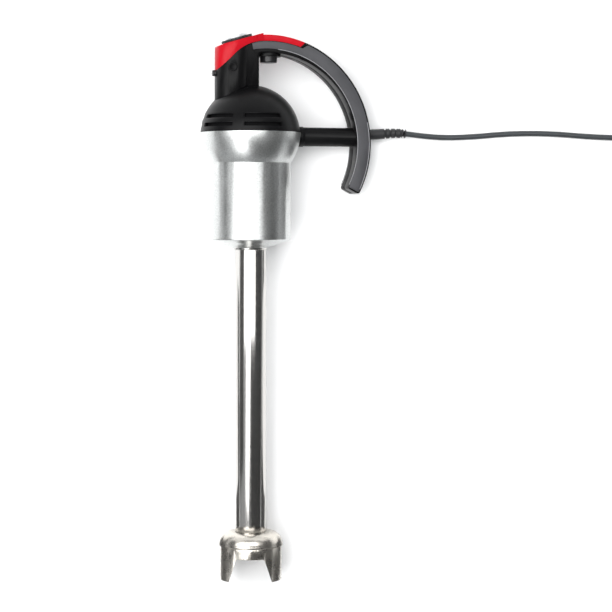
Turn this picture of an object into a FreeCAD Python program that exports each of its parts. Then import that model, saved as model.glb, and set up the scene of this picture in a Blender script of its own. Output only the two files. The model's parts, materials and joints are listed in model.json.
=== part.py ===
"""Commercial immersion blender lying on a table: motor housing, vented dome, ring-shaped handle,
blending arm with bell guard and blade, and a mains cord that ends in a neat coil and a plug.

Every piece is drawn upright: the blender's axis is +Z, the feet of the bell are at Z = -3, the handle
points to +X and the front of the handle is -Y. The lying pose is applied when the pieces are written.
"""
import FreeCAD
import Part
import math
import os
from FreeCAD import Matrix, Vector

# ---- driving dimensions, in millimetres and degrees ----
BELL_R = 40.2                 # skirt of the bell guard
BELL_BULGE_R = 42.0           # widest ring of its dome
BELL_SHEET = 1.6
BELL_FEET_Z = -3.0            # lower edge of the bell
BELL_CREASE_Z = 41.6
BELL_WELD_Z = 41.0             # where the skirt meets the dome
BELL_TOP_Z = 60.0
ARCH_TOP_Z = 27.5
ARCH_HALF_AT_RIM = 28.0
ARCH_HALF_AT_TOP = 18.5
TUBE_R = 20.5
TUBE_WALL = 1.2
TUBE_FOOT_Z = 55.0
SHAFT_R = 4.0
RUNNING_GAP = 0.05            # radial clearance of a turning shaft
HOUSING_FOOT_Z = 430.6
HOUSING_FLOOR_Z = 443.0       # inside face of the thick cast bottom
BARREL_R = 52.8               # straight lower part of the motor housing
CREASE_Z = 541.0
BULGE_R = 65.4
BULGE_Z = 582.4
SEAM_Z = 580.5                # aluminium below, black dome above
HOUSING_WALL = 2.0
DOME_R = 65.0
DOME_Z = 577.0
DOME_WALL = 2.5
NECK_R = 22.75
NECK_X = -24.4
HALF_DEPTH = 17.0             # half the handle's depth
WALL = 3.0                    # handle shells
WEB_X = 8.0                   # the neck's flat web reaches this far
ARM_R = 140.0                 # outer circle of the handle's arm
ARM_X, ARM_Z = 20.5, 566.7
HOLLOW_R = 120.2              # inner circle of the arm
HOLLOW_X, HOLLOW_Z = 21.3, 563.5
ARM_ROOT_ANGLE = 101.4         # inside the neck
TAIL_ANGLE = -28.2
CAP_STRIP = 8.0               # depth of the red cap along the arm
CAP_END_ANGLE = 70.0
PANEL_R = 122.3
PANEL_X, PANEL_Z = 19.8, 566.3
PANEL_THICK = 1.8
PANEL_INSET = 2.2             # black border between the inlay and the arm's outer edge
STRUT_R = 12.35
STRUT_Z = 576.0
TRIGGER_X = 24.6
TRIGGER_R = 11.3
TRIGGER_FOOT_Z = 671.3
TRIGGER_COLLAR_Z = 679.0
LOCK_Z = 656.5
DIAL_TILT = 16.06             # slope of the cap's top face
DIAL_X = -17.7
CORD_R = 3.65
BOOT_X, BOOT_Z = 159.5, 579.9  # where the cord leaves the arm
ARM_SCREWS = (42.0, -18.0)    # angles on the arm
NECK_SCREW = (-29.0, 664.0)

# Route of the free cord on the table, in the lying frame: from the strain relief to the coil.
CORD_ROUTE = [
    (158.3, 229.8, 9.6),
    (184.0, 226.8, 5.6),
    (212.0, 225.0, 3.7),
    (248.0, 226.2, 3.7),
    (296.0, 230.6, 3.7),
    (350.0, 230.8, 3.7),
    (402.0, 226.4, 3.7),
    (450.0, 224.6, 3.7),
    (490.0, 226.0, 3.7),
]
COIL_MEAN_R = 40.0
COIL_HALF_WIDTH = 14.6
COIL_HEIGHT = 14.2
COIL_AT = (497.0, 174.5)
PLUG_AT = (548.0, 160.0, 7.2)

XAXIS, YAXIS, ZAXIS = Vector(1, 0, 0), Vector(0, 1, 0), Vector(0, 0, 1)
ORIGIN = Vector(0, 0, 0)


# ---- small helpers ----
def wire(points):
    """Closed wire through points; a pair (middle, end) is an arc from the point before."""
    edges = []
    last = points[0]
    for item in points[1:] + [points[0]]:
        if isinstance(item, tuple):
            edges.append(Part.Arc(last, item[0], item[1]).toShape())
            last = item[1]
        elif (item - last).Length > 1e-6:
            edges.append(Part.LineSegment(last, item).toShape())
            last = item
    return Part.Wire(edges)


def rz(radius, height):
    return Vector(radius, 0, height)


def lathe(points):
    """Solid of revolution about the blender's axis from a profile of (radius, height) points."""
    return Part.Face(wire(points)).revolve(ORIGIN, ZAXIS, 360)


def ring(outer, inner, low, high, at=ORIGIN, along=ZAXIS):
    """Round tube between two heights along an axis through a point."""
    place = at + along * low
    solid = Part.makeCylinder(outer, high - low, place, along)
    if inner > 0:
        solid = solid.cut(Part.makeCylinder(inner, high - low, place, along))
    return solid


def rod(radius, start, end):
    return Part.makeCylinder(radius, (end - start).Length, start, end - start)


def block(x, y, z):
    """Box from three (low, high) pairs."""
    size = (x[1] - x[0], y[1] - y[0], z[1] - z[0])
    return Part.makeBox(*size, Vector(x[0], y[0], z[0]))


def turned(shape, angle, about=ZAXIS, at=ORIGIN):
    copy = shape.copy()
    copy.rotate(at, about, angle)
    return copy


def around(shape, count, first=0.0):
    return [turned(shape, first + 360.0 * k / count) for k in range(count)]


def fused(shapes):
    return shapes[0].multiFuse(shapes[1:]).removeSplitter() if len(shapes) > 1 else shapes[0]


def slab(points, low, high):
    """Outline in the handle's plane, made solid from Y = low to Y = high."""
    return Part.Face(wire(points)).extrude(Vector(0, high - low, 0)).translated(Vector(0, low, 0))


def disc(x, z, radius, low, high):
    """Round slab in the handle's plane."""
    return Part.makeCylinder(radius, high - low, Vector(x, low, z), YAXIS)


def on_circle(x, z, radius, angle):
    a = math.radians(angle)
    return Vector(x + radius * math.cos(a), 0, z + radius * math.sin(a))


def on_arm(radius, angle):
    return on_circle(ARM_X, ARM_Z, radius, angle)


def sector(low_angle, high_angle, reach=400.0):
    """Outline of a wedge of the handle's plane, seen from the arm's centre."""
    middle = (low_angle + high_angle) / 2
    tips = [on_arm(reach, a) for a in (low_angle, (low_angle + middle) / 2, middle,
                                      (high_angle + middle) / 2, high_angle)]
    return [on_arm(0, 0)] + tips


def spring(radius, wire_r, length, turns, at, along):
    """Helical compression spring that starts at a point and runs along a direction."""
    helix = Part.makeHelix(length / turns, length - 2 * wire_r, radius)
    section = Part.Wire(Part.makeCircle(wire_r, Vector(radius, 0, 0), YAXIS))
    coil = Part.Wire(helix).makePipeShell([section], True, True)
    coil.translate(Vector(0, 0, wire_r))
    turn = FreeCAD.Rotation(ZAXIS, along)
    coil.Placement = FreeCAD.Placement(at, turn).multiply(coil.Placement)
    return coil


def bearing(low, high, outer):
    """Ball bearing: two races and eight balls."""
    middle_r = (outer + SHAFT_R) / 2
    ball_r = (outer - SHAFT_R) * 0.22
    races = [ring(outer, middle_r + ball_r * 0.8, low, high),
             ring(middle_r - ball_r * 0.8, SHAFT_R + RUNNING_GAP, low, high)]
    groove = Part.makeTorus(middle_r, ball_r, Vector(0, 0, (low + high) / 2))
    ball = Part.makeSphere(ball_r, Vector(middle_r, 0, (low + high) / 2))
    return [race.cut(groove) for race in races] + around(ball, 8)


# ---- lying pose ----
def resting_tilt():
    """Angle that the axis rises from the bell to the housing when both touch the table."""
    return math.degrees(math.atan((BULGE_R - BELL_BULGE_R) / (BULGE_Z - BELL_CREASE_Z - 1.4)))


def resting_roll():
    """Roll about the axis that lets the rear edge of the arm touch the table too."""
    slope = math.tan(math.radians(resting_tilt()))
    edge = 1.4
    low, high = 0.0, 45.0
    while high - low > 1e-6:
        roll = (low + high) / 2
        a = math.radians(roll)
        lean = math.atan2(slope, math.sin(a) + 1e-9)
        x = ARM_X + (ARM_R - edge) * math.cos(lean)
        z = ARM_Z - (ARM_R - edge) * math.sin(lean)
        drop = x * math.sin(a) + (HALF_DEPTH - edge) * math.cos(a) + edge
        if drop < BULGE_R - (BULGE_Z - z) * slope:
            low = roll
        else:
            high = roll
    return low


def lying():
    """Matrix from the upright frame to the lying one, before it is centred on its box."""
    turn = Matrix()
    turn.rotateX(math.radians(-90))
    turn.rotateY(math.radians(resting_roll()))
    turn.rotateX(math.radians(resting_tilt()))
    return turn


# ---- blending arm ----
def bell_guard():
    """Two pressings welded at the crease: a skirt with an arch through both sides, and a domed top."""
    inner_r = BELL_R - BELL_SHEET
    skirt = ring(BELL_R, inner_r, BELL_FEET_Z, BELL_WELD_Z)
    outer = [rz(BELL_R, BELL_WELD_Z), rz(BELL_BULGE_R - 0.3, BELL_CREASE_Z),
             (rz(BELL_BULGE_R, BELL_CREASE_Z + 1.0), rz(BELL_BULGE_R - 0.2, BELL_CREASE_Z + 2.4)),
             (rz(36.4, 55.6), rz(TUBE_R + 1.2, BELL_TOP_Z)), rz(TUBE_R, BELL_TOP_Z)]
    inner = [rz(TUBE_R, TUBE_FOOT_Z), rz(TUBE_R - TUBE_WALL, TUBE_FOOT_Z), rz(TUBE_R + 1.0, BELL_TOP_Z - 2.6),
             (rz(34.8, 54.0), rz(inner_r, BELL_CREASE_Z + 1.0)), rz(inner_r, BELL_WELD_Z)]
    corner = 3.0
    arch = [Vector(-ARCH_HALF_AT_RIM - 1.0, 0, BELL_FEET_Z - 3), Vector(-ARCH_HALF_AT_TOP - 0.8, 0, ARCH_TOP_Z - corner),
            (Vector(-ARCH_HALF_AT_TOP + 0.4, 0, ARCH_TOP_Z - 0.8), Vector(-ARCH_HALF_AT_TOP + 3, 0, ARCH_TOP_Z)),
            Vector(ARCH_HALF_AT_TOP - 3, 0, ARCH_TOP_Z),
            (Vector(ARCH_HALF_AT_TOP - 0.4, 0, ARCH_TOP_Z - 0.8),
             Vector(ARCH_HALF_AT_TOP + 0.8, 0, ARCH_TOP_Z - corner)),
            Vector(ARCH_HALF_AT_RIM + 1.0, 0, BELL_FEET_Z - 3)]
    return {"bell_skirt": skirt.cut(turned(slab(arch, -60, 60), -resting_roll())),
            "bell_dome": lathe(outer + inner)}


def foot_parts():
    """Bearing housing, bush and seal at the lower end of the tube."""
    tube_bore = TUBE_R - TUBE_WALL - RUNNING_GAP
    housing = lathe([rz(8, 47), rz(12, 47), rz(13.5, 48.5), rz(13.5, 55), rz(tube_bore, TUBE_FOOT_Z + 0.5),
                     rz(tube_bore, 84), rz(8, 84)])
    return {"foot_bearing_housing": housing,
            "foot_bush": ring(8, SHAFT_R + RUNNING_GAP, 53, 81),
            "shaft_seal": ring(8, SHAFT_R + RUNNING_GAP, 48.5, 51.5)}


def blade():
    """Two-winged blade: one wing bends towards the rim, the other into the bell."""
    thick, width, seat = 1.8, 13.0, 28.2
    hub = ring(8.5, 3.0, seat, seat + thick)
    wings = []
    for side, tip in ((1, -7.0), (-1, 5.0)):
        line = [Vector(side * 5, 0, seat), Vector(side * 15, 0, seat), Vector(side * 28, 0, seat + tip),
                Vector(side * 28, 0, seat + tip + 0.7), Vector(side * 15.4, 0, seat + thick),
                Vector(side * 5, 0, seat + thick)]
        wing = slab(line, -width / 2, width / 2)
        sweep = [Vector(side * 4, 0, 0), Vector(side * 20, 0, 0), Vector(side * 40, 0, 0)]
        corner = block((side * 22 - 8, side * 22 + 8), (2.0, 12.0), (0, 60))
        corner = turned(corner, side * -28, ZAXIS, sweep[1])
        other = block((side * 22 - 8, side * 22 + 8), (-12.0, -5.2), (0, 60))
        wings.append(wing.cut(corner if side > 0 else turned(other, -10, ZAXIS, sweep[1])))
    shape = fused([hub] + wings).cut(ring(3.0, 0, 0, 60))
    return turned(shape, 62)


def blade_nut():
    flats = [Vector(6.2 * math.cos(math.radians(a)), 6.2 * math.sin(math.radians(a)), 21.5)
             for a in range(0, 360, 60)]
    body = Part.Face(wire(flats)).extrude(Vector(0, 0, 6.7))
    dome = Part.makeSphere(7.6, Vector(0, 0, 26.2))
    return body.common(dome).cut(ring(3.0, 0, 23.0, 30))


def arm_parts():
    bore = TUBE_R - TUBE_WALL
    shaft = lathe([rz(0, 23), rz(3, 23), rz(3, 30), rz(SHAFT_R, 30), rz(SHAFT_R, 434), rz(0, 434)])
    bush = ring(bore - RUNNING_GAP, SHAFT_R + RUNNING_GAP, 0, 14)
    lightening = ring(3.6, 0, -1, 15, Vector(11.6, 0, 0))
    for hole in around(lightening, 6):
        bush = bush.cut(hole)
    flange = ring(38, TUBE_R, HOUSING_FLOOR_Z, HOUSING_FLOOR_Z + 4)
    screws = []
    for place in bolt_places(30.0, 4, 45):
        flange = flange.cut(ring(2.1, 0, HOUSING_FLOOR_Z - 1, HOUSING_FLOOR_Z + 5, place))
        screws.append(ring(1.9, 0, HOUSING_FLOOR_Z - 4.5, HOUSING_FLOOR_Z + 4, place).fuse(
            ring(3.6, 0, HOUSING_FLOOR_Z + 4, HOUSING_FLOOR_Z + 7, place)))
    return {"blending_tube": ring(TUBE_R, bore, TUBE_FOOT_Z, HOUSING_FLOOR_Z + 4),
            "drive_shaft": shaft,
            "tube_bushes": [bush.translated(Vector(0, 0, z)) for z in (190, 320)],
            "tube_collar": ring(TUBE_R + 1.4, TUBE_R, 428.6, 432.9),
            "tube_flange": flange,
            "flange_screws": screws}


def bolt_places(radius, count, first):
    angles = [math.radians(first + 360 * k / count) for k in range(count)]
    return [Vector(radius * math.cos(a), radius * math.sin(a), 0) for a in angles]


# ---- motor housing and dome ----
def bulge_profile(inset, low, high):
    """Arc of the housing's bulge between two heights, as an arc item and its start point."""
    reach = (BARREL_R - BULGE_R) ** 2 + (BULGE_Z - CREASE_Z) ** 2
    radius = reach / (2 * (BULGE_R - BARREL_R))
    centre = BULGE_R - radius
    at = [centre + math.sqrt((radius - inset) ** 2 - (BULGE_Z - z) ** 2) for z in (low, (low + high) / 2, high)]
    return rz(at[0], low), (rz(at[1], (low + high) / 2), rz(at[2], high))


def motor_housing():
    start, arc = bulge_profile(0, CREASE_Z, SEAM_Z)
    inner_start, inner_arc = bulge_profile(HOUSING_WALL, CREASE_Z + 1, SEAM_Z)
    outer = [rz(22, HOUSING_FOOT_Z), rz(26.5, 432.8), (rz(32.6, 434.4), rz(38.2, 437)),
             (rz(46.0, 439.2), rz(51.6, 440.9)), (rz(52.5, 441.4), rz(BARREL_R, 442.4)), start, arc]
    inner = [inner_arc[1], (inner_arc[0], inner_start), rz(BARREL_R - HOUSING_WALL, CREASE_Z - 1),
             rz(BARREL_R - HOUSING_WALL, HOUSING_FLOOR_Z + 3), rz(BARREL_R - HOUSING_WALL - 3, HOUSING_FLOOR_Z),
             rz(TUBE_R + 0.1, HOUSING_FLOOR_Z), rz(TUBE_R + 0.1, 433), rz(22, 433)]
    shell = lathe(outer + inner).cut(strut_hole())
    for place in bolt_places(30.0, 4, 45):
        shell = shell.cut(ring(1.9, 0, HOUSING_FLOOR_Z - 4.5, HOUSING_FLOOR_Z + 1, place))
    return shell


def strut_hole():
    return rod(10.95, Vector(40, 0, STRUT_Z), Vector(80, 0, STRUT_Z))


def dome_cover():
    seam_r = math.sqrt(DOME_R ** 2 - (SEAM_Z - DOME_Z) ** 2)
    outer = Part.makeSphere(DOME_R, Vector(0, 0, DOME_Z))
    inner = Part.makeSphere(DOME_R - DOME_WALL, Vector(0, 0, DOME_Z))
    above = ring(90, 0, SEAM_Z, 700)
    shell = outer.cut(inner).common(above)
    lip = ring(seam_r - 2.1, seam_r - 4.1, SEAM_Z - 5, SEAM_Z + 3)
    posts = [ring(3.6, 0, 613.7, 640, place) for place in bolt_places(30, 2, 90)]
    posts = [post.common(Part.makeSphere(DOME_R - 1, Vector(0, 0, DOME_Z))) for post in posts]
    shell = fused([shell, lip] + posts)
    for place in bolt_places(30, 2, 90):
        shell = shell.cut(ring(1.4, 0, 613, 622, place))
    slot_height, slot_sweep = 5.0, 46.0
    for low in (587.0, 598.0):
        profile = Part.Face(wire([rz(45, low), rz(75, low), rz(75, low + slot_height), rz(45, low + slot_height)]))
        slot = turned(profile.revolve(ORIGIN, ZAXIS, slot_sweep), -slot_sweep / 2)
        for azimuth in (90, 150, 210, 270):
            shell = shell.cut(turned(slot, azimuth))
    return shell.cut(ring(13, 0, 600, 660, Vector(NECK_X + 4, 0, 0))).cut(strut_hole())


# ---- handle ----
def arm_blank(half_depth, inset, roundness):
    """The curved arm as a solid bar: outer and inner circles moved in by an inset."""
    start, end = ARM_ROOT_ANGLE, TAIL_ANGLE
    middle = (start + end) / 2
    outer_r, inner_r = ARM_R - inset, HOLLOW_R + inset

    def inner_point(angle):
        """Where a ray from the arm's centre meets the inner circle."""
        a = math.radians(angle)
        dx, dz = HOLLOW_X - ARM_X, HOLLOW_Z - ARM_Z
        along = dx * math.cos(a) + dz * math.sin(a)
        across = dx * math.sin(a) - dz * math.cos(a)
        return on_arm(along + math.sqrt(inner_r ** 2 - across ** 2), angle)

    end += math.degrees(inset / ARM_R)
    points = [on_arm(outer_r, start), (on_arm(outer_r, middle), on_arm(outer_r, end)),
              inner_point(end), (inner_point(middle), inner_point(start))]
    bar = slab(points, -half_depth, half_depth)
    if roundness:
        corner = [e for e in bar.Edges if abs(e.Length - 2 * half_depth) < 1e-6
                  and e.CenterOfMass.z < ARM_Z]
        bar = bar.makeFillet(3.5, corner)
        rims = [e for e in bar.Edges if abs(abs(e.CenterOfMass.y) - half_depth) < 1e-6
                and (e.CenterOfMass - on_arm(outer_r, start)).Length > 30]
        bar = bar.makeFillet(roundness, rims)
    return bar


def cap_border():
    """Lower edge of the red cap, from the neck's far side to its slanted end on the arm."""
    strip = ARM_R - CAP_STRIP
    join, end = on_arm(strip, 95.0), on_arm(strip, CAP_END_ANGLE + 1.2)
    return [Vector(NECK_X - 24, 0, 658.8), Vector(-24.6, 0, 683.0), (Vector(-9.5, 0, 692.8), join),
            (on_arm(strip, 81), end), on_arm(ARM_R + 3, CAP_END_ANGLE - 1.4)]


def cap_region():
    """Everything of the handle's plane above the red cap's lower edge."""
    return slab(cap_border() + [on_arm(ARM_R + 40, 80), Vector(NECK_X - 24, 0, 740)], -40, 40)


def neck_plan(radius, half_depth, low, high):
    """Round barrel whose sides run tangentially into the arm's flat sides."""
    tip = 16.0
    away = math.acos(radius / math.hypot(tip - NECK_X, half_depth)) + math.atan2(half_depth, tip - NECK_X)
    touch = Vector(NECK_X + radius * math.cos(away), radius * math.sin(away), low)
    mirror = Vector(touch.x, -touch.y, low)
    outline = [Vector(tip, half_depth, low), touch, (Vector(NECK_X - radius, 0, low), mirror),
               Vector(tip, -half_depth, low)]
    return Part.Face(wire(outline)).extrude(Vector(0, 0, high - low))


def dial_place(offset):
    """Point on the dial's axis, a distance above the cap's slanted face."""
    tilt = math.radians(DIAL_TILT)
    face_z = 694.0 + (DIAL_X + 37.8) * math.tan(tilt)
    return Vector(DIAL_X - offset * math.sin(tilt), 0, face_z + offset * math.cos(tilt))


def dial_axis():
    tilt = math.radians(DIAL_TILT)
    return Vector(-math.sin(tilt), 0, math.cos(tilt))


def top_limit():
    """Space under the cap's slanted top face and its bevelled corner."""
    right = Vector(13.0, 0, 694.0 + 50.8 * math.tan(math.radians(DIAL_TILT)))
    return [Vector(NECK_X - 22.9, 0, 560), Vector(NECK_X - 22.9, 0, 687.6), Vector(-45.2, 0, 690.6),
            Vector(-37.8, 0, 694.0), right, Vector(13.0, 0, 560)]


def lock_hole():
    return rod(4.2, Vector(-60, 0, LOCK_Z), Vector(-40, 0, LOCK_Z))


def neck_cavity():
    inside = neck_hollow_outline()
    return slab(inside, -30, 30).common(ring(NECK_R - WALL, 0, 560, 720, Vector(NECK_X, 0, 0)))


def neck_hollow_outline():
    slope = math.tan(math.radians(DIAL_TILT))
    left, right = NECK_X - 19.5, NECK_X + 19.5
    return [Vector(left, 0, 560), Vector(left, 0, 686.5), Vector(-38.6, 0, 690.0),
            Vector(right, 0, 690.0 + (right + 38.6) * slope), Vector(right, 0, 560)]


def arm_cavity():
    """Hollow of the arm, shallower where the red cap covers it."""
    hollow = arm_blank(HALF_DEPTH - WALL, WALL, 0)
    shallow = disc(ARM_X, ARM_Z, ARM_R - CAP_STRIP - 2.7, -20, 20)
    free = hollow.common(slab(sector(TAIL_ANGLE, CAP_END_ANGLE - 4), -20, 20))
    covered = hollow.common(slab(sector(CAP_END_ANGLE - 5, ARM_ROOT_ANGLE - 3), -20, 20)).common(shallow)
    return free.fuse(covered)


def panel_outline(grow):
    """Inlay in the side of the arm, under the red cap first and then as wide as the arm."""
    strip = ARM_R - CAP_STRIP - 0.6 + grow
    wide = ARM_R - PANEL_INSET + grow
    first, step, last = 100.0 + grow * 0.4, CAP_END_ANGLE - 0.4 + grow * 0.2, TAIL_ANGLE + 1.0 - grow * 0.4
    outer = [on_arm(strip, first), (on_arm(strip, (first + step) / 2), on_arm(strip, step)),
             on_arm(wide, step - 2.2), (on_arm(wide, (step + last) / 2), on_arm(wide, last)),
             on_arm(90, last), on_arm(90, first)]
    return outer


def panel(side, grow, low, high):
    """One inlay; side is -1 for the front and 1 for the rear, low and high are depths from the middle."""
    y = sorted((side * low, side * high))
    plate = slab(panel_outline(grow), *y)
    plate = plate.cut(disc(PANEL_X, PANEL_Z, PANEL_R - grow, *y))
    plate = plate.cut(disc(HOLLOW_X, HOLLOW_Z, HOLLOW_R + 0.7 - grow, *y))
    return plate.cut(cap_border_guard(grow))


def cap_border_guard(grow):
    """Keeps the inlay just below the red cap where the cap's edge bends down to the neck."""
    lower = cap_border()[1:4]
    shift = Vector(0, 0, -0.6 + grow)
    points = [lower[0] + shift, (lower[1][0] + shift, lower[1][1] + shift), on_arm(ARM_R, 95),
              Vector(-40, 0, 720), Vector(-40, 0, 670)]
    return slab(points, -40, 40)


def screw_posts():
    posts = [disc(p.x, p.z, 4.0, -HALF_DEPTH + 2, HALF_DEPTH - 2) for p in arm_screw_places()]
    barrel = ring(NECK_R - 1.0, 0, 600, 690, Vector(NECK_X, 0, 0))
    return posts + [disc(*NECK_SCREW, 7.4, -24, 24).common(barrel)]


def arm_screw_places():
    return [on_arm(127.6 if a > 0 else 131.5, a) for a in ARM_SCREWS]


def handle_shells():
    neck = ring(NECK_R, 0, 575, 720, Vector(NECK_X, 0, 0))
    web = slab([Vector(NECK_X, 0, 575), Vector(NECK_X, 0, 700), Vector(WEB_X + 20, 0, 700),
                Vector(WEB_X + 14, 0, 688), Vector(WEB_X + 5, 0, 683.5),
                (Vector(WEB_X + 1.5, 0, 681.5), Vector(WEB_X, 0, 677)), Vector(WEB_X, 0, 575)],
               -HALF_DEPTH, HALF_DEPTH)
    corners = [e for e in web.Edges if abs(e.Length - 102.0) < 0.01 and abs(e.CenterOfMass.x - WEB_X) < 0.01]
    web = web.makeFillet(4.0, corners)
    sphere = Part.makeSphere(DOME_R, Vector(0, 0, DOME_Z))
    stem = fused([neck, web]).common(slab(top_limit(), -40, 40)).cut(sphere)
    strut = rod(STRUT_R, Vector(70.9, 0, STRUT_Z), Vector(146, 0, STRUT_Z))
    spigot = rod(10.9, Vector(56, 0, STRUT_Z), Vector(72, 0, STRUT_Z))
    arm = arm_blank(HALF_DEPTH, 0, 1.4)
    body = fused([stem, arm, strut, spigot]).cut(cap_region())
    body = body.cut(neck_cavity()).cut(arm_cavity())
    web_room = block((NECK_X, WEB_X - WALL), (-HALF_DEPTH + WALL, HALF_DEPTH - WALL), (560, 680))
    body = body.cut(web_room.cut(Part.makeSphere(DOME_R, Vector(0, 0, DOME_Z))))
    body = body.cut(rod(8.5, Vector(50, 0, STRUT_Z), Vector(146, 0, STRUT_Z)))
    shape = fused([body] + [post.cut(cap_region()) for post in screw_posts()])
    shape = shape.cut(ring(TRIGGER_R + 0.25, 0, 670, 692, Vector(TRIGGER_X, 0, 0)))
    shape = shape.cut(lock_hole())
    shape = shape.cut(rod(6.9, Vector(146, 0, BOOT_Z), Vector(170, 0, BOOT_Z)))
    shape = shape.cut(disc(*NECK_SCREW, 6.0, -30, -18.2)).cut(disc(*NECK_SCREW, 3.2, -18.5, -12))
    shape = shape.cut(disc(*NECK_SCREW, 1.5, -15, 14))
    for p in arm_screw_places():
        shape = shape.cut(disc(p.x, p.z, 1.5, -20, 9)).cut(disc(p.x, p.z, 3.0, -20, -12.5))
    for side in (-1, 1):
        depth = HALF_DEPTH - PANEL_THICK
        shape = shape.cut(panel(side, 0.35, depth, HALF_DEPTH + 2))
    front = shape.common(block((-80, 200), (-40, 0), (500, 760)))
    rear = shape.common(block((-80, 200), (0, 40), (500, 760)))
    return front, rear


def red_cap():
    plan = neck_plan(NECK_R, HALF_DEPTH, 640, 720).fuse(ring(NECK_R, 0, 640, 720, Vector(NECK_X, 0, 0)))
    head = plan.common(slab(top_limit(), -40, 40))
    strip = arm_blank(HALF_DEPTH, 0, 1.4).common(slab(sector(60, 95), -40, 40))
    cap = fused([head, strip]).common(cap_region())
    cap = cap.cut(neck_cavity()).cut(arm_cavity())
    return cap.cut(rod(4.2, dial_place(-20), dial_place(5))).cut(lock_hole())


def handle_fittings():
    collar = ring(16.2, TRIGGER_R + 0.25, TRIGGER_COLLAR_Z, 690, Vector(TRIGGER_X, 0, 0))
    collar = collar.common(disc(HOLLOW_X, HOLLOW_Z, HOLLOW_R, -30, 30))
    stub = rod(13.2, Vector(50, 0, STRUT_Z), Vector(70.9, 0, STRUT_Z))
    stub = stub.cut(rod(10.95, Vector(40, 0, STRUT_Z), Vector(80, 0, STRUT_Z)))
    start, arc = bulge_profile(-0.05, CREASE_Z, BULGE_Z)
    below = lathe([rz(0, CREASE_Z), start, arc, rz(0, BULGE_Z)])
    stub = stub.cut(below).cut(Part.makeSphere(DOME_R + 0.45, Vector(0, 0, DOME_Z)))
    plug = disc(*NECK_SCREW, 5.9, -22.1, -18.3).cut(disc(*NECK_SCREW, 3.6, -23, -21.4))
    neck_screw = disc(*NECK_SCREW, 3.1, -15, -12.05).fuse(disc(*NECK_SCREW, 1.5, -12.5, 13.5))
    screws = [neck_screw]
    for p in arm_screw_places():
        screws.append(disc(p.x, p.z, 2.9, -14.9, -12.5).fuse(disc(p.x, p.z, 1.5, -13, 8.5)))
    lead_at = on_arm(134.0, 7)
    lead = Part.Face(Part.Wire(Part.makeCircle(2.1, lead_at, XAXIS.cross(ZAXIS).cross(lead_at - on_arm(0, 0)))))
    lead = lead.revolve(on_arm(0, 0), YAXIS, -50)
    panels = [panel(side, 0.0, HALF_DEPTH - PANEL_THICK, HALF_DEPTH) for side in (-1, 1)]
    return {"trigger_collar": collar, "strut_collar": stub, "screw_plug": plug, "handle_screws": screws,
            "internal_lead": lead, "side_panel_front": panels[0], "side_panel_rear": panels[1]}


# ---- controls ----
def controls():
    at = Vector(TRIGGER_X, 0, 0)
    button = ring(TRIGGER_R, 0, TRIGGER_FOOT_Z, 690, at).fuse(ring(12.7, 0, 688.2, 690, at))
    rim = [e for e in button.Edges if abs(e.CenterOfMass.z - TRIGGER_FOOT_Z) < 0.01]
    button = button.makeFillet(1.6, rim).cut(ring(7.2, 0, 679.9, 691, at))
    tilt = math.atan2(on_arm(1, 75).x - ARM_X, on_arm(1, 75).z - ARM_Z)
    switch = block((-9, 9), (-6, 6), (-3.2, 3.2)).fuse(block((-13.5, -7), (-2, 2), (2.4, 3.0)))
    switch = turned(switch, math.degrees(tilt), YAXIS)
    switch.translate(Vector(54.5, 0, 687.6))
    face, axis = dial_place(0), dial_axis()
    skirt = ring(20.5, 3.15, 0.3, 3.4, face, axis)
    notch = ring(0.75, 0, 0, 4, face + Vector(0, 20.9, 0), axis)
    for k in range(48):
        skirt = skirt.cut(turned(notch, 7.5 * k, axis, face))
    knob = ring(14.0, 0, 3.4, 8.7, face, axis).cut(ring(3.15, 0, 3.4, 6.2, face, axis))
    top = [e for e in knob.Edges if (e.CenterOfMass - dial_place(8.7)).Length < 0.01 and e.Length > 80]
    knob = knob.makeFillet(1.3, top)
    knob = knob.cut(turned(block((-0.7, 0.7), (4, 13), (-0.5, 0.6)), -DIAL_TILT, YAXIS).translated(dial_place(8.7)))
    stem = ring(3.1, 0, -3.0, 6.0, face, axis)
    pot = ring(8.4, 3.2, -5.0, -3.9, face, axis).fuse(ring(8.4, 0, -13.2, -5.0, face, axis))
    stem = stem.common(ring(9, 0, -4.9, 7, face, axis))
    shaft_stub = ring(3.1, 0, -4.9, -3.0, face, axis)
    lock = rod(4.0, Vector(-50.9, 0, LOCK_Z), Vector(-42.2, 0, LOCK_Z))
    tip = [e for e in lock.Edges if abs(e.CenterOfMass.x + 50.9) < 0.01]
    lock = lock.makeFillet(0.8, tip).fuse(rod(5.4, Vector(-43.1, 0, LOCK_Z), Vector(-41.8, 0, LOCK_Z)))
    bracket = block((-38.2, -36.6), (-13.4, 13.4), (650, 663))
    return {"trigger_button": button,
            "trigger_spring": spring(6.0, 0.7, 15.4, 5, Vector(TRIGGER_X, 0, 680.1), ZAXIS),
            "power_switch": switch,
            "dial_skirt": skirt,
            "dial_knob": knob,
            "dial_shaft": stem.fuse(shaft_stub),
            "speed_control": pot,
            "lock_button": lock,
            "lock_spring": spring(3.2, 0.45, 3.4, 3.5, Vector(-41.7, 0, LOCK_Z), XAXIS),
            "lock_bracket": bracket}


# ---- motor ----
def stator():
    core = ring(46, 23.8, 476, 526)
    pocket = Part.Face(wire([rz(29.9, 470), rz(38.1, 470), rz(38.1, 532), rz(29.9, 532)]))
    pocket = turned(pocket.revolve(ORIGIN, ZAXIS, 92), -46)
    coil = Part.Face(wire([rz(30, 468), rz(38, 468), rz(38, 534), rz(30, 534)]))
    coil = turned(coil.revolve(ORIGIN, ZAXIS, 90), -45)
    for pocket_here in around(pocket, 2):
        core = core.cut(pocket_here)
    for place in bolt_places(42.2, 4, 45):
        core = core.cut(ring(2.1, 0, 470, 530, place))
    return core, around(coil, 2)


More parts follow.
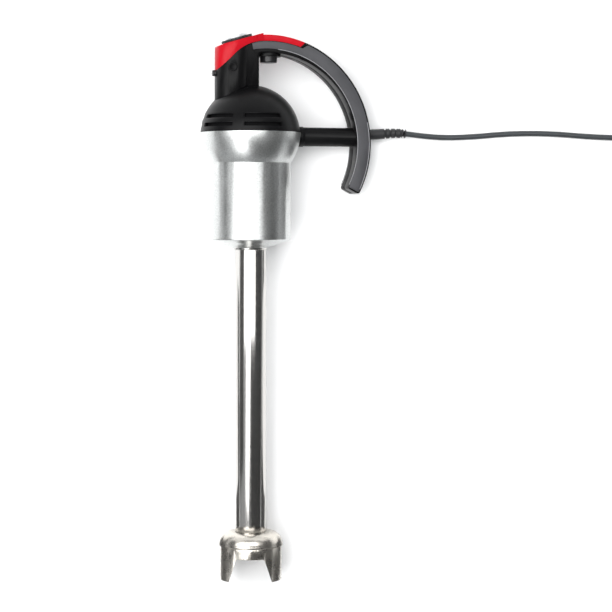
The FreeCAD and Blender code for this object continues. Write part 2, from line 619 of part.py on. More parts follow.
def armature():
    low, high, slots = 478.0, 524.0, 12
    core = ring(23.0, SHAFT_R, low, high)
    slot = block((9.5, 20.5), (-1.9, 1.9), (low - 1, high + 1)).fuse(
        block((20.0, 24.0), (-0.9, 0.9), (low - 1, high + 1)))
    bar = block((9.7, 20.3), (-1.7, 1.7), (low - 5, high + 5))
    for cutter in around(slot, slots):
        core = core.cut(cutter)
    ends = [lathe([rz(8, z0), rz(19, z0), rz(21.5, (z0 + z1) / 2), rz(19, z1), rz(8, z1)])
            for z0, z1 in ((low - 8, low - 0.2), (high + 0.2, high + 8))]
    winding = fused(ends + around(bar, slots))
    commutator = ring(13, SHAFT_R, 535, 551)
    gap = block((10.5, 14), (-0.25, 0.25), (534, 552))
    for cutter in around(gap, 24):
        commutator = commutator.cut(cutter)
    return core, winding, commutator


def bearing_plate(low, high, hub_low, hub_high):
    plate = ring(50.6, 11.02, low, high).fuse(ring(15, 11.02, hub_low, hub_high))
    window = Part.Face(wire([rz(20, low - 1), rz(37, low - 1), rz(37, high + 1), rz(20, high + 1)]))
    window = turned(window.revolve(ORIGIN, ZAXIS, 50), -25)
    for cutter in around(window, 4):
        plate = plate.cut(cutter)
    for place in bolt_places(42.2, 4, 45):
        plate = plate.cut(ring(2.1, 0, low - 1, high + 1, place))
    return plate


def fan():
    hub = ring(10, SHAFT_R, 565.5, 577)
    disc_plate = ring(46, 9, 565.5, 567)
    vane = turned(block((12, 45), (-0.7, 0.7), (566.5, 575.5)), 18, ZAXIS, Vector(12, 0, 0))
    return fused([hub, disc_plate] + around(vane, 11))


def coupling(low, high, towards):
    """Half of a dog coupling: a hub with two teeth that reach into the other half."""
    tooth_low, tooth_high = (high, high + 5) if towards > 0 else (low - 5, low)
    hub = ring(10, SHAFT_R, low, high)
    tooth = Part.Face(wire([rz(5.2, tooth_low), rz(10, tooth_low), rz(10, tooth_high), rz(5.2, tooth_high)]))
    tooth = turned(tooth.revolve(ORIGIN, ZAXIS, 84), -42 + (0 if towards > 0 else 90))
    return fused([hub] + around(tooth, 2))


def motor_parts():
    core, windings = stator()
    armature_core, winding, commutator = armature()
    holder = block((15.0, 34.0), (-5.5, 5.5), (537.5, 548.5)).cut(block((14, 35), (-3.6, 3.6), (539.5, 546.5)))
    holder = holder.fuse(block((24, 34), (-5.5, 5.5), (548.5, 555.8)))
    brush = block((13.1, 25.0), (-3.5, 3.5), (539.6, 546.4))
    press = spring(2.6, 0.4, 8.6, 6, Vector(25.1, 0, 543), XAXIS)
    screws = []
    for place in bolt_places(42.2, 4, 45):
        screws.append(ring(2.0, 0, 452.5, 561, place).fuse(ring(3.8, 0, 561, 564, place)))
    board = ring(42, 0, 612, 613.6)
    for place in bolt_places(30, 2, 90):
        board = board.cut(ring(1.6, 0, 611, 615, place))
    board_screws = [ring(1.4, 0, 612, 621, place).fuse(ring(2.8, 0, 610, 612, place))
                    for place in bolt_places(30, 2, 90)]
    sink = block((10, 13), (-16, 16), (590, 611.9))
    capacitor = block((-26, -12), (-9, 9), (594, 611.9))
    return {"lower_bearing_plate": bearing_plate(456, 461, 452.5, 463),
            "lower_bearing": bearing(454, 462, 11),
            "stator_core": core,
            "field_windings": windings,
            "armature_core": armature_core,
            "armature_winding": winding,
            "commutator": commutator,
            "motor_shaft": ring(SHAFT_R, 0, 436.5, 578),
            "upper_bearing_plate": bearing_plate(556, 561, 552.5, 562.5),
            "upper_bearing": bearing(553.5, 561.5, 11),
            "brush_holders": around(holder, 2, 90),
            "brushes": around(brush, 2, 90),
            "brush_springs": around(press, 2, 90),
            "motor_screws": screws,
            "cooling_fan": fan(),
            "drive_coupling_lower": coupling(423, 434, 1),
            "drive_coupling_upper": coupling(439.2, 450, -1),
            "control_board": board,
            "board_screws": board_screws,
            "heat_sink": sink,
            "suppressor": capacitor}


# ---- cord, in the lying frame ----
def cord_tube():
    """Straight runs joined by tangent arcs, with its length and bend radii."""
    route = [Vector(*p) for p in CORD_ROUTE]
    edges, radii = [], []
    here = route[0]
    for before, corner, after in zip(route, route[1:], route[2:]):
        arriving, leaving = corner - before, after - corner
        turn = arriving.getAngle(leaving)
        reach = 0.45 * min(arriving.Length, leaving.Length)
        arriving.normalize()
        leaving.normalize()
        start, end = corner - arriving * reach, corner + leaving * reach
        radius = reach / math.tan(turn / 2)
        towards = leaving - arriving
        towards.normalize()
        middle = corner + towards * (radius / math.cos(turn / 2) - radius)
        edges += [Part.LineSegment(here, start).toShape(), Part.Arc(start, middle, end).toShape()]
        radii.append(radius)
        here = end
    edges.append(Part.LineSegment(here, route[-1]).toShape())
    path = Part.Wire(edges)
    section = Part.Wire(Part.makeCircle(CORD_R, route[0], route[1] - route[0]))
    tube = path.makePipeShell([section], True, False)
    expected = math.pi * CORD_R ** 2 * path.Length
    print("cord arc radii:", [round(r) for r in radii])
    print("cord tube length %.1f, volume / (section x length) %.4f" % (path.Length, tube.Volume / expected))
    return tube


def strain_relief(exit_point, exit_direction):
    """Bent, tapered boot with four ribs, from the arm to the first point of the cord's route."""
    end, after = Vector(*CORD_ROUTE[0]), Vector(*CORD_ROUTE[1])
    end_direction = after - end
    end_direction.normalize()
    span = (end - exit_point).Length
    controls = [exit_point, exit_point + exit_direction * span / 3, end - end_direction * span / 3, end]

    def station(t, radius):
        weights = ((1 - t) ** 3, 3 * t * (1 - t) ** 2, 3 * t * t * (1 - t), t ** 3)
        slopes = (-3 * (1 - t) ** 2, 3 * (1 - t) ** 2 - 6 * t * (1 - t), 6 * t * (1 - t) - 3 * t * t, 3 * t * t)
        centre, direction = Vector(), Vector()
        for control, weight, slope in zip(controls, weights, slopes):
            centre += control * weight
            direction += control * slope
        return Part.Wire(Part.makeCircle(radius, centre, direction))

    smooth_end, ribs = 0.46, 4
    stations = [(0.0, 6.8), (0.02, 8.5), (0.07, 8.5), (0.075, 6.9), (0.25, 6.9), (smooth_end, 6.7)]
    pitch = (1.0 - smooth_end) / ribs
    for k in range(ribs):
        start = smooth_end + k * pitch
        crown = 6.5 - 0.15 * k
        stations += [(start + 0.10 * pitch, 4.9), (start + 0.26 * pitch, 4.9), (start + 0.36 * pitch, crown),
                     (start + 0.92 * pitch, crown)]
    stations.append((1.0, 5.4))
    return Part.makeLoft([station(t, radius) for t, radius in stations], True, True)


def cord_end():
    """Coil's outer shape, and the flat two-pin plug that lies beside it."""
    at = Vector(*COIL_AT, 0)
    coil = ring(COIL_MEAN_R + COIL_HALF_WIDTH, COIL_MEAN_R - COIL_HALF_WIDTH, 0.05, COIL_HEIGHT, at)
    x, y, z = PLUG_AT
    half, thick = 17.5, 7.0
    outline = [Vector(x - 5, y, z - thick), Vector(x - 6.5, y - 18, z - thick),
               (Vector(x - 9.5, y - 26, z - thick), Vector(x - half, y - 33, z - thick)),
               Vector(x - half, y - 46, z - thick), Vector(x + half, y - 46, z - thick),
               Vector(x + half, y - 33, z - thick),
               (Vector(x + 9.5, y - 26, z - thick), Vector(x + 6.5, y - 18, z - thick)),
               Vector(x + 5, y, z - thick)]
    body = Part.Face(wire(outline)).extrude(Vector(0, 0, 2 * thick))
    flat_edges = [e for e in body.Edges if abs(abs(e.CenterOfMass.z - z) - thick) < 0.01 and e.Length > 12]
    body = body.makeFillet(2.4, [e for e in flat_edges if e.CenterOfMass.y < y - 1])
    pins = []
    for side in (-1, 1):
        pin = rod(2.0, Vector(x + side * 9.3, y - 46, z), Vector(x + side * 9.3, y - 65, z))
        tip = [e for e in pin.Edges if abs(e.CenterOfMass.y - y + 65) < 0.01]
        pins.append(pin.makeFillet(1.2, tip))
    return {"cord_coil": coil, "plug_body": body, "plug_pins": pins}


# ---- assembly ----
def upright_parts():
    front, rear = handle_shells()
    parts = {"blade": blade(), "blade_nut": blade_nut(),
             "motor_housing": motor_housing(), "dome_cover": dome_cover(),
             "handle_shell_front": front, "handle_shell_rear": rear, "red_cap": red_cap()}
    for group in (bell_guard(), foot_parts(), arm_parts(), handle_fittings(), controls(), motor_parts()):
        parts.update(group)
    parts["trigger_collar"] = parts["trigger_collar"].cut(front).cut(rear)
    parts["housing_screws"] = parts.pop("flange_screws") + parts.pop("motor_screws")
    return parts


def lay_down(parts):
    """Turns every piece to the lying pose, centred on the object's box and standing on the table."""
    turn = lying()
    solids = {name: Part.makeCompound(shape) if isinstance(shape, list) else shape for name, shape in parts.items()}
    solids = {name: shape.transformed(turn) for name, shape in solids.items()}
    outside = ["bell_skirt", "bell_dome", "motor_housing", "handle_shell_front", "handle_shell_rear", "side_panel_front",
               "side_panel_rear", "red_cap", "dial_skirt", "dial_knob", "lock_button"]
    box = FreeCAD.BoundBox()
    for name in outside:
        box.add(solids[name].optimalBoundingBox(False, False))
    shift = Vector(-(box.XMin + box.XMax) / 2, -(box.YMin + box.YMax) / 2, -box.ZMin)
    print("roll %.3f tilt %.3f shift %.3f %.3f %.3f" % (resting_roll(), resting_tilt(), *shift))
    print("size %.2f x %.2f x %.2f" % (box.XLength, box.YLength, box.ZLength))
    return {name: shape.translated(shift) for name, shape in solids.items()}, turn, shift


def main():
    os.makedirs("parts", exist_ok=True)
    parts, turn, shift = lay_down(upright_parts())
    exit_point = turn.multVec(Vector(BOOT_X, 0, BOOT_Z)) + shift
    exit_direction = turn.multVec(XAXIS)
    print("cord exit", [round(c, 2) for c in exit_point], "direction", [round(c, 3) for c in exit_direction])
    boot = strain_relief(exit_point, exit_direction)
    parts["strain_relief"] = boot
    parts["cord_tube"] = cord_tube()
    for name, shape in cord_end().items():
        parts[name] = Part.makeCompound(shape) if isinstance(shape, list) else shape
    for name, shape in parts.items():
        if not shape.isValid() or not shape.Solids:
            print("bad shape:", name, shape.isValid(), len(shape.Solids))
        shape.exportStep("parts/%s.step" % name)
    print(len(parts), "nodes,", sum(len(shape.Solids) for shape in parts.values()), "solids")


main()
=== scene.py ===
# %% [markdown]
# # A commercial immersion blender, lying on a pale floor
#
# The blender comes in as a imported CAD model: the aluminium motor housing, the black dome, the curved
# handle, the long steel arm with its bell and blade, and the parts inside. That model is the frame.
# This lesson gives it a camera, a real cord, rounded edges, a few fine details, finishes and light.
# Lengths are in metres, +Z is up, and the blender's axis runs along +Y.

# %% Load the frame
import json
import math
import bpy
from mathutils import Matrix, Vector


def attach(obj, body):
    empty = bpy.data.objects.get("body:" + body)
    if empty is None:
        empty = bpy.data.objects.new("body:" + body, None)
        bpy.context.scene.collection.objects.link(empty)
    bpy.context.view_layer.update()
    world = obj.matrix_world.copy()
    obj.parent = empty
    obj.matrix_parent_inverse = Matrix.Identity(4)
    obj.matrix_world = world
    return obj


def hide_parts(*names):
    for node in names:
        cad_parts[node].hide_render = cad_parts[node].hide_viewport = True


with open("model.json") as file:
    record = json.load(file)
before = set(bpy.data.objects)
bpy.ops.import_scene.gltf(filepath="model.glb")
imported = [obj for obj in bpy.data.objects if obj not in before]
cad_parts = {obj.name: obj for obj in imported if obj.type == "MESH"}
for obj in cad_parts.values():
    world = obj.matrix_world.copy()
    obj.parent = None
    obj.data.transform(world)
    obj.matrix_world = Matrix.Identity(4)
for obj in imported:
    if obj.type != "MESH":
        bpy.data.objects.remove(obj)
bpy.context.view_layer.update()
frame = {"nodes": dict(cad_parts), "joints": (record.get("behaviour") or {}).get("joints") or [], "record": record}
nodes = frame["nodes"]
scene = bpy.context.scene
print("parts from the frame:", len(nodes))

# %% [markdown]
# ## The blender's own directions
#
# The blender lies rolled and slightly tilted, because the bell and the housing both touch the floor
# and the handle leans on it. Details are easier to place along its own axes, so they are read from the
# record: the spindle's joint gives the axis, the lock button's joint gives the direction in which the
# handle reaches, and the origin is on the axis, 3 mm above the feet of the bell.

# %% Own axes and a helper that places a point
joints = {joint["name"]: joint for joint in frame["joints"]}
mounts = {mount["name"]: mount for mount in frame["record"]["mounts"]}
AXIS = Vector(joints["rotor_spin"]["axis"]).normalized()
HANDLE_SIDE = Vector(joints["lock_press"]["axis"]).normalized()
BACK = AXIS.cross(HANDLE_SIDE).normalized()
MM = 0.001
FEET_Z = -3.0
FEET = (Vector(mounts["bell_foot_left"]["pos_m"]) + Vector(mounts["bell_foot_right"]["pos_m"])) / 2
ORIGIN = FEET - AXIS * FEET_Z * MM


def upright(x, y, z):
    """A place given in millimetres as if the blender stood on its bell, handle to +X, back to +Y."""
    return ORIGIN + (HANDLE_SIDE * x + BACK * y + AXIS * z) * MM


OWN_FRAME = Matrix((HANDLE_SIDE, BACK, AXIS)).transposed()
print("axis", [round(v, 3) for v in AXIS], "handle side", [round(v, 3) for v in HANDLE_SIDE])

# %% [markdown]
# ## Camera
#
# The camera looks straight down from 2.6 m above the axis, with a long lens, so that the barrel and
# the arm keep their true proportions. A short lens would make the thick housing swell.

# %% Camera
CAMERA_AT = (0.0262, 0.0012, 2.665)
camera_data = bpy.data.cameras.new("camera")
camera_data.lens = 117.6
camera_data.sensor_width = 36.0
camera_data.clip_end = 30.0
camera = bpy.data.objects.new("camera", camera_data)
camera.location = CAMERA_AT
scene.collection.objects.link(camera)
scene.camera = camera
print("view is", round(camera_data.sensor_width / camera_data.lens * CAMERA_AT[2], 3), "m wide on the floor")

# %% [markdown]
# ## The mains cord
#
# A rubber cord 7.3 mm thick leaves a ribbed boot at the handle's back. It drops to the floor within a few
# diameters, runs to the right in one lazy bend, and the rest of its length is put away in a neat coil
# with the plug beside it. A cord is one NURBS curve with round thickness: the spline smooths the route,
# and one object carries the whole length. The route's points are listed one by one. The coil's turns are
# worked out by a loop, with sixteen points a turn: three turns wind inwards on the floor, then the cord
# climbs one diameter and winds outwards on top of them.

# %% The route and the turns of the coil
CORD_R = 0.00365
ROUTE = [
    (0.1583, 0.2298, 0.0096),
    (0.1840, 0.2268, 0.0056),
    (0.2120, 0.2250, 0.0037),
    (0.2480, 0.2262, 0.0037),
    (0.2960, 0.2306, 0.0037),
    (0.3500, 0.2308, 0.0037),
    (0.4020, 0.2264, 0.0037),
    (0.4500, 0.2246, 0.0037),
    (0.4800, 0.2257, 0.0037),
]
PLUG_END = (0.5480, 0.1590, 0.0072)
COIL_AT = Vector((0.4970, 0.1745, 0.0))
OUTER_TURN = 0.0512
POINTS_A_TURN = 16
LOWER_TURNS, CLIMB_TURNS, UPPER_TURNS = 3.0, 0.375, 2.75
FLOOR_Z = 0.0037


def coil_point(turn):
    """Place on the coil after a number of turns, clockwise from its top."""
    angle = math.radians(90) - 2 * math.pi * turn
    pitch = 2 * CORD_R
    inwards = min(turn, LOWER_TURNS)
    outwards = max(0.0, turn - LOWER_TURNS - CLIMB_TURNS)
    climbed = min(max((turn - LOWER_TURNS) / CLIMB_TURNS, 0.0), 1.0)
    radius = OUTER_TURN - pitch * inwards + pitch * outwards
    return COIL_AT + Vector((radius * math.cos(angle), radius * math.sin(angle), FLOOR_Z + pitch * climbed))


turns = LOWER_TURNS + CLIMB_TURNS + UPPER_TURNS
coil = [coil_point(step / POINTS_A_TURN) for step in range(int(turns * POINTS_A_TURN) + 1)]
print("turns in the coil:", turns)

# %% The cord as one curve


def tube_along(name, points, radius, order=3):
    """A round tube on one smooth open spline."""
    curve = bpy.data.curves.new(name, "CURVE")
    curve.dimensions = "3D"
    spline = curve.splines.new("NURBS")
    spline.points.add(len(points) - 1)
    for point, place in zip(spline.points, points):
        point.co = (*place, 1.0)
        point.radius = radius
    spline.order_u = order
    spline.use_endpoint_u = True
    spline.resolution_u = 6
    curve.bevel_depth = 1.0
    curve.bevel_resolution = 6
    curve.use_fill_caps = True
    piece = bpy.data.objects.new(name, curve)
    scene.collection.objects.link(piece)
    return piece


cord = tube_along("mains_cord", ROUTE + coil + [(0.5480, 0.1720, 0.0090), PLUG_END], CORD_R)
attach(cord, "housing")
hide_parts("cord_tube", "cord_coil")
print("the cord follows", len(cord.data.splines[0].points), "points")

# %% [markdown]
# ## Beads around the inlays
#
# Each side of the handle has a dark grey inlay, and a thin bead follows its inner edge and the
# lower half of its outer edge. The bead is a small raised lip, and its pale grey colour is a painted
# highlight: the line of light that such an edge catches. Such a line is too fine for a bevel to draw, so it
# is a tube of half a millimetre on an arc, half sunk into the face. The same tube helper that made the cord
# bends it.

# %% Four beads
HALF_DEPTH = 17.0
BEAD_R = 0.45
BEAD_ARCS = {"inner": (19.8, 566.3, 122.3, -25.5, 84.0), "outer": (20.5, 566.7, 137.6, -25.5, 12.0)}
BEAD_POINTS = 40


def bead(name, side, centre_x, centre_z, radius, start, end):
    """A thin tube along an arc on the front (-1) or the rear (1) face of the handle."""
    places = []
    for step in range(BEAD_POINTS + 1):
        angle = math.radians(start + (end - start) * step / BEAD_POINTS)
        x, z = centre_x + radius * math.cos(angle), centre_z + radius * math.sin(angle)
        places.append(upright(x, side * (HALF_DEPTH - 0.1), z))
    piece = tube_along(name, places, BEAD_R * MM)
    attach(piece, "housing")
    return piece


beads = []
for face_name, side in (("front", -1), ("rear", 1)):
    for edge_name, arc in BEAD_ARCS.items():
        beads.append(bead("inlay_bead_" + edge_name + "_" + face_name, side, *arc))
print("beads:", [piece.name for piece in beads])

# %% [markdown]
# ## Painted shade behind the slots
#
# The slots in the dome look black, and without something behind them the floor shows through. So a
# thin closed ring of near-black matt material stands close behind the dome's wall, in millimetres on the
# own axes. It is painted shade, standing in for the dark inside of the housing, and not a known part.

# %% One ring of painted shade
SHADE_RING_FOOT = (60.0, 586.0)
SHADE_RING_TOP = (53.7, 606.0)
SHADE_RING_THICK = 1.4
SHADE_RING_STEPS = 72


# Builds the near-black ring of painted shade behind the slots.
def build_shade_ring(name):
    """A thin band around the axis, leaning inwards with the dome's wall."""
    section = [(SHADE_RING_FOOT[0] - SHADE_RING_THICK, SHADE_RING_FOOT[1]), SHADE_RING_FOOT,
               SHADE_RING_TOP, (SHADE_RING_TOP[0] - SHADE_RING_THICK, SHADE_RING_TOP[1])]
    points, faces = [], []
    for step in range(SHADE_RING_STEPS):
        angle = 2 * math.pi * step / SHADE_RING_STEPS
        points += [upright(radius * math.cos(angle), radius * math.sin(angle), z) for radius, z in section]
        here, after = 4 * step, 4 * ((step + 1) % SHADE_RING_STEPS)
        faces += [(here + k, here + (k + 1) % 4, after + (k + 1) % 4, after + k) for k in range(4)]
    mesh = bpy.data.meshes.new(name)
    mesh.from_pydata(points, [], faces)
    piece = bpy.data.objects.new(name, mesh)
    scene.collection.objects.link(piece)
    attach(piece, "housing")
    return piece


# Painted shade: a near-black ring that darkens the slots in place of the housing's dark inside.
shade_ring = build_shade_ring("painted_slot_shade")
print("shade ring:", len(shade_ring.data.polygons), "faces")

# %% [markdown]
# ## Rounded edges on the CAD parts
#
# A real moulding or pressing has no razor-sharp edge: every corner catches a thin line of light. The
# CAD meshes have sharp corners, so each outside part gets two modifiers. Weld joins the triangles'
# corners. Bevel rounds every edge that turns by more than 32 degrees, which takes in the 34-degree
# crease of the motor housing, and its hardened normals keep the barrel straight and the flat faces
# flat. The mesh itself stays as it came. The widths are in millimetres.

# %% Weld and bevel
SHARP = math.radians(32)
OUTSIDE = {
    "bell_skirt": 0.30, "bell_dome": 0.0, "blade": 0.25, "blade_nut": 0.4, "tube_collar": 0.4,
    "motor_housing": 0.35, "dome_cover": 0.35, "handle_shell_front": 0.30, "handle_shell_rear": 0.30,
    "red_cap": 0.45, "side_panel_front": 0.35, "side_panel_rear": 0.35, "dial_skirt": 0.20,
    "dial_knob": 0.35, "trigger_button": 0.4, "trigger_collar": 0.4, "lock_button": 0.3,
    "strut_collar": 0.5, "strain_relief": 0.0, "plug_body": 0.3, "plug_pins": 0.0,
    "screw_plug": 0.3, "blending_tube": 0.2,
}


def soften(part, width_mm):
    """Smooth shading, with every sharp edge rounded."""
    for face in part.data.polygons:
        face.use_smooth = True
    weld = part.modifiers.new("weld", "WELD")
    weld.merge_threshold = 1e-6
    if width_mm:
        bevel = part.modifiers.new("rounded edges", "BEVEL")
        bevel.width = width_mm * MM
        bevel.segments = 2
        bevel.limit_method = "ANGLE"
        bevel.angle_limit = SHARP
        bevel.harden_normals = True


for part_name, width_mm in OUTSIDE.items():
    soften(nodes[part_name], width_mm)
print("softened", len(OUTSIDE), "outside parts")

# %% [markdown]
# ## A helper for finishes
#
# Every finish starts from the Principled shader. What changes over the surface, such as grain, scratches
# and handling marks, comes from noise textures in object coordinates, so it stays with the part when the
# part moves. What is the same everywhere, such as the coat or the anisotropy, is set on the shader itself.

# %% Finish helpers


def linear(level):
    """One screen level, from 0 to 255, as the linear value that light needs."""
    value = level / 255
    return ((value + 0.055) / 1.055) ** 2.4 if value > 0.04045 else value / 12.92


def paint(red, green, blue):
    """A colour as seen on a screen."""
    return tuple(linear(level) for level in (red, green, blue))


def new_finish(name, colour, roughness, metallic=0.0, coat=0.0, specular=0.5, anisotropy=0.0):
    """A material with its shader ready."""
    material = bpy.data.materials.new(name)
    material.use_nodes = True
    shader = material.node_tree.nodes["Principled BSDF"]
    shader.inputs["Base Color"].default_value = (*colour, 1.0)
    shader.inputs["Roughness"].default_value = roughness
    shader.inputs["Metallic"].default_value = metallic
    shader.inputs["Coat Weight"].default_value = coat
    shader.inputs["Coat Roughness"].default_value = 0.12
    shader.inputs["Specular IOR Level"].default_value = specular
    shader.inputs["Anisotropic"].default_value = anisotropy
    return material, shader


def add(material, kind, **settings):
    """A new node with its settings."""
    node = material.node_tree.nodes.new(kind)
    for key, value in settings.items():
        setattr(node, key, value)
    return node


def wire(material, source, target):
    material.node_tree.links.new(source, target)


def own_space(material, stretch=(1.0, 1.0, 1.0)):
    """Object coordinates turned to the blender's own axes, so that a grain can run along or around it."""
    coordinates = add(material, "ShaderNodeTexCoord")
    turn = add(material, "ShaderNodeMapping", vector_type="TEXTURE")
    turn.inputs["Location"].default_value = ORIGIN
    turn.inputs["Rotation"].default_value = OWN_FRAME.to_euler()
    scale = add(material, "ShaderNodeMapping", vector_type="POINT")
    scale.inputs["Scale"].default_value = stretch
    wire(material, coordinates.outputs["Object"], turn.inputs["Vector"])
    wire(material, turn.outputs["Vector"], scale.inputs["Vector"])
    return scale.outputs["Vector"]


def noise(material, space, scale, detail=3.0, rough=0.5):
    """Grey noise from 0 to 1; scale is in bumps per metre."""
    texture = add(material, "ShaderNodeTexNoise")
    texture.inputs["Scale"].default_value = scale
    texture.inputs["Detail"].default_value = detail
    texture.inputs["Roughness"].default_value = rough
    wire(material, space, texture.inputs["Vector"])
    return texture.outputs["Fac"]


def spread(material, value, low, high, start=0.3, stop=0.7):
    """Maps the middle of a noise to a range of numbers."""
    ramp = add(material, "ShaderNodeMapRange")
    ramp.inputs["From Min"].default_value = start
    ramp.inputs["From Max"].default_value = stop
    ramp.inputs["To Min"].default_value = low
    ramp.inputs["To Max"].default_value = high
    wire(material, value, ramp.inputs["Value"])
    return ramp.outputs["Result"]


def tint(material, shader, value, dark, light):
    """Lets the base colour wander between two colours."""
    ramp = add(material, "ShaderNodeValToRGB")
    ramp.color_ramp.elements[0].position = 0.3
    ramp.color_ramp.elements[1].position = 0.7
    ramp.color_ramp.elements[0].color = (*dark, 1.0)
    ramp.color_ramp.elements[1].color = (*light, 1.0)
    wire(material, value, ramp.inputs["Fac"])
    wire(material, ramp.outputs["Color"], shader.inputs["Base Color"])


def bump(material, shader, value, depth_mm, strength=1.0):
    """Fine relief of a real depth."""
    relief = add(material, "ShaderNodeBump")
    relief.inputs["Strength"].default_value = strength
    relief.inputs["Distance"].default_value = depth_mm * MM
    wire(material, value, relief.inputs["Height"])
    wire(material, relief.outputs["Normal"], shader.inputs["Normal"])


def shade(colour, factor):
    return tuple(min(1.0, channel * factor) for channel in colour)


def simple_finish(name, colour, roughness, metallic=0.0, grain=900.0, depth_mm=0.02, wander=0.12,
                  stretch=(1.0, 1.0, 1.0), **more):
    """Colour, roughness and relief that each vary with their own noise."""
    material, shader = new_finish(name, colour, roughness, metallic, **more)
    space = own_space(material, stretch)
    fine = noise(material, space, grain)
    broad = noise(material, space, grain / 30)
    tint(material, shader, broad, shade(colour, 1 - wander), shade(colour, 1 + wander))
    wire(material, spread(material, broad, roughness * 0.85, roughness * 1.2), shader.inputs["Roughness"])
    bump(material, shader, fine, depth_mm, 0.5)
    return material


print("finish helpers are ready")

# %% [markdown]
# ## Bright metals
#
# The motor housing is cast aluminium with a fine painted-looking sparkle, so its noise is tiny and dense
# and it blurs reflections. The arm is a polished steel tube: its reflections stay sharp across the tube,
# and faint polishing lines run around it. The bell is satin steel, a little warmer and softer.

# %% Aluminium, steels and other metals
finishes = {}

ALUMINIUM = paint(212, 214, 213)
material, shader = new_finish("satin aluminium", ALUMINIUM, 0.34, 1.0)
space = own_space(material)
sparkle = noise(material, space, 560.0, 4.0, 0.7)
clouds = noise(material, space, 38.0, 2.0)
tint(material, shader, sparkle, shade(ALUMINIUM, 0.72), shade(ALUMINIUM, 1.12))
wire(material, spread(material, clouds, 0.31, 0.37), shader.inputs["Roughness"])
bump(material, shader, sparkle, 0.09, 0.75)
finishes["satin_aluminium"] = material

STEEL = paint(199, 197, 194)
material, shader = new_finish("polished steel", STEEL, 0.16, 1.0)
space = own_space(material, (30.0, 30.0, 2200.0))
lines = noise(material, space, 1.0, 4.0, 0.6)
long_lines = noise(material, own_space(material, (900.0, 900.0, 4.0)), 1.0, 2.0)
tint(material, shader, long_lines, shade(STEEL, 0.92), shade(STEEL, 1.05))
wire(material, spread(material, lines, 0.13, 0.21), shader.inputs["Roughness"])
bump(material, shader, lines, 0.004, 0.5)
finishes["polished_steel"] = material

SATIN = paint(214, 209, 200)
material, shader = new_finish("satin steel", SATIN, 0.27, 1.0)
lines = noise(material, own_space(material, (60.0, 60.0, 1800.0)), 1.0, 4.0, 0.6)
spots = noise(material, own_space(material), 60.0, 4.0)
tint(material, shader, spots, shade(SATIN, 0.86), shade(SATIN, 1.08))
wire(material, spread(material, spots, 0.21, 0.34), shader.inputs["Roughness"])
bump(material, shader, lines, 0.006, 0.6)
finishes["satin_steel"] = material

for slot_name, colour, roughness in (
    ("blade_steel", paint(176, 174, 172), 0.22),
    ("plug_nickel", paint(205, 200, 188), 0.22),
    ("machined_steel", paint(170, 170, 172), 0.28),
    ("zinc_screw", paint(176, 180, 186), 0.34),
    ("spring_steel", paint(150, 152, 156), 0.30),
    ("lamination_steel", paint(96, 96, 100), 0.42),
    ("copper_winding", paint(184, 96, 52), 0.36),
    ("bronze", paint(170, 128, 72), 0.40),
    ("cast_plate", paint(82, 84, 88), 0.55),
    ("brush_brass", paint(200, 164, 88), 0.30),
):
    finishes[slot_name] = simple_finish(slot_name.replace("_", " "), colour, roughness, 1.0, 1400.0, 0.012)
finishes["silver_knob"] = simple_finish("silver knob", paint(240, 241, 243), 0.36, 0.35, 1400.0, 0.012,
                                        wander=0.03)
print("metals:", len(finishes))

# %% [markdown]
# ## Plastics and rubber
#
# The dome and the handle are black moulded plastic with a very fine eroded texture: it is not pure
# black, and it shows a grey sheen where a light grazes it. The cap is red plastic with more gloss. The
# side inlays are a softer dark grey, and the boot, the cord and the seals are rubber.

# %% Moulded plastics, rubber and small parts
BLACK = paint(10, 10, 11)
material, shader = new_finish("black plastic", BLACK, 0.38, specular=0.14)
space = own_space(material)
erosion = noise(material, space, 3200.0, 2.0)
handling = noise(material, space, 22.0, 3.0)
tint(material, shader, handling, shade(BLACK, 0.85), shade(BLACK, 1.25))
wire(material, spread(material, handling, 0.32, 0.42), shader.inputs["Roughness"])
bump(material, shader, erosion, 0.03, 0.5)
finishes["black_shell"] = material

RED = paint(172, 14, 28)
material, shader = new_finish("red gloss plastic", RED, 0.36, coat=0.0, specular=0.16)
space = own_space(material)
ripple = noise(material, space, 500.0, 2.0)
handling = noise(material, space, 26.0, 3.0)
tint(material, shader, handling, shade(RED, 0.92), shade(RED, 1.08))
wire(material, spread(material, handling, 0.24, 0.34), shader.inputs["Roughness"])
bump(material, shader, ripple, 0.012, 0.5)
finishes["red_gloss"] = material

for slot_name, colour, roughness, grain, depth_mm in (
    ("grey_inlay", paint(66, 66, 69), 0.55, 1300.0, 0.06),
    ("black_dial", paint(24, 24, 26), 0.38, 2600.0, 0.03),
    ("black_button", paint(22, 22, 24), 0.34, 2600.0, 0.02),
    ("boot_rubber", paint(30, 30, 32), 0.46, 1800.0, 0.04),
    ("cord_sheath", paint(46, 50, 53), 0.42, 1500.0, 0.03),
    ("plug_black", paint(30, 31, 33), 0.38, 2200.0, 0.03),
    ("inner_plastic", paint(58, 60, 64), 0.50, 1500.0, 0.03),
    ("seal_rubber", paint(26, 26, 28), 0.60, 1500.0, 0.05),
    ("carbon", paint(40, 40, 42), 0.70, 2600.0, 0.06),
    ("board_green", paint(28, 92, 58), 0.42, 900.0, 0.02),
    ("lead_sheath", paint(34, 34, 36), 0.48, 1200.0, 0.03),
):
    finishes[slot_name] = simple_finish(slot_name.replace("_", " "), colour, roughness, 0.0, grain, depth_mm)
# Painted shade: near-black, matt and nearly unreflecting, so the slots read as dark.
finishes["painted_slot_shade"] = simple_finish("painted slot shade", paint(17, 17, 18), 0.95, 0.0, 700.0, 0.6,
                                        specular=0.05)
# Painted highlight: the beads' pale grey stands in for the thin line of light along the inlay's edge.
finishes["pale_bead"] = simple_finish("painted highlight bead", paint(138, 138, 141), 0.42, 0.0, 2200.0, 0.02)
print("finishes in all:", len(finishes))

# %% [markdown]
# ## Putting the finishes on
#
# The record says which slot each part takes. The CAD import leaves a plain material on every part, and
# swapping that for the finish of the same slot dresses the whole model in one loop.

